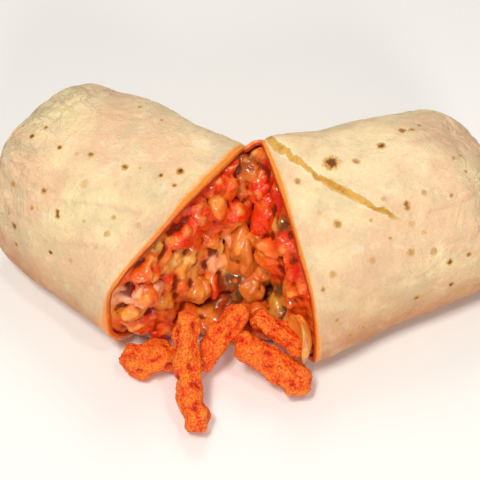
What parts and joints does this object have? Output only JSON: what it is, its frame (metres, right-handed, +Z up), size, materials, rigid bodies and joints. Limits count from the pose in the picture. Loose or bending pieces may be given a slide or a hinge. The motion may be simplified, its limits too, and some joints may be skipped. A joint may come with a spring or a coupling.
{
  "type": "burrito",
  "caption": "Stuffed burrito cut across and opened like a book, the tortilla still joined at the back, with saucy chicken, cheese and corn puffs in the mouth between the cut faces.",
  "frame": {"origin": "centre of the bounding box's bottom, on the surface that the burrito rests on", "axes": "+X to the right seen from the open mouth, +Y from the mouth towards the hinge at the back, +Z up"},
  "size_m": [0.2094, 0.1412, 0.0671],
  "materials": {
    "tortilla": "floury, with toasted brown spots",
    "filling": "glossy red-orange cheese sauce",
    "chicken": "browned and coated in sauce",
    "soaked_puff": "wet and red",
    "corn_puff": "knobbly, dusted with red-orange powder",
    "stained_flour": "soaked in orange sauce"
  },
  "bodies": {
    "root": {"tortilla": "tortilla", "tortilla_fold": "stained_flour", "filling": "filling", "chicken_1": "chicken", "chicken_2": "chicken", "chicken_3": "chicken", "chicken_4": "chicken", "chicken_5": "chicken", "chicken_6": "chicken", "chicken_7": "chicken", "soaked_puff_1": "soaked_puff", "soaked_puff_2": "soaked_puff", "soaked_puff_3": "soaked_puff", "soaked_puff_4": "soaked_puff", "soaked_puff_5": "soaked_puff", "soaked_puff_6": "soaked_puff", "puff_1": "corn_puff", "puff_2": "corn_puff", "puff_3": "corn_puff", "puff_4": "corn_puff", "puff_5": "corn_puff"}
  },
  "joints": []
}
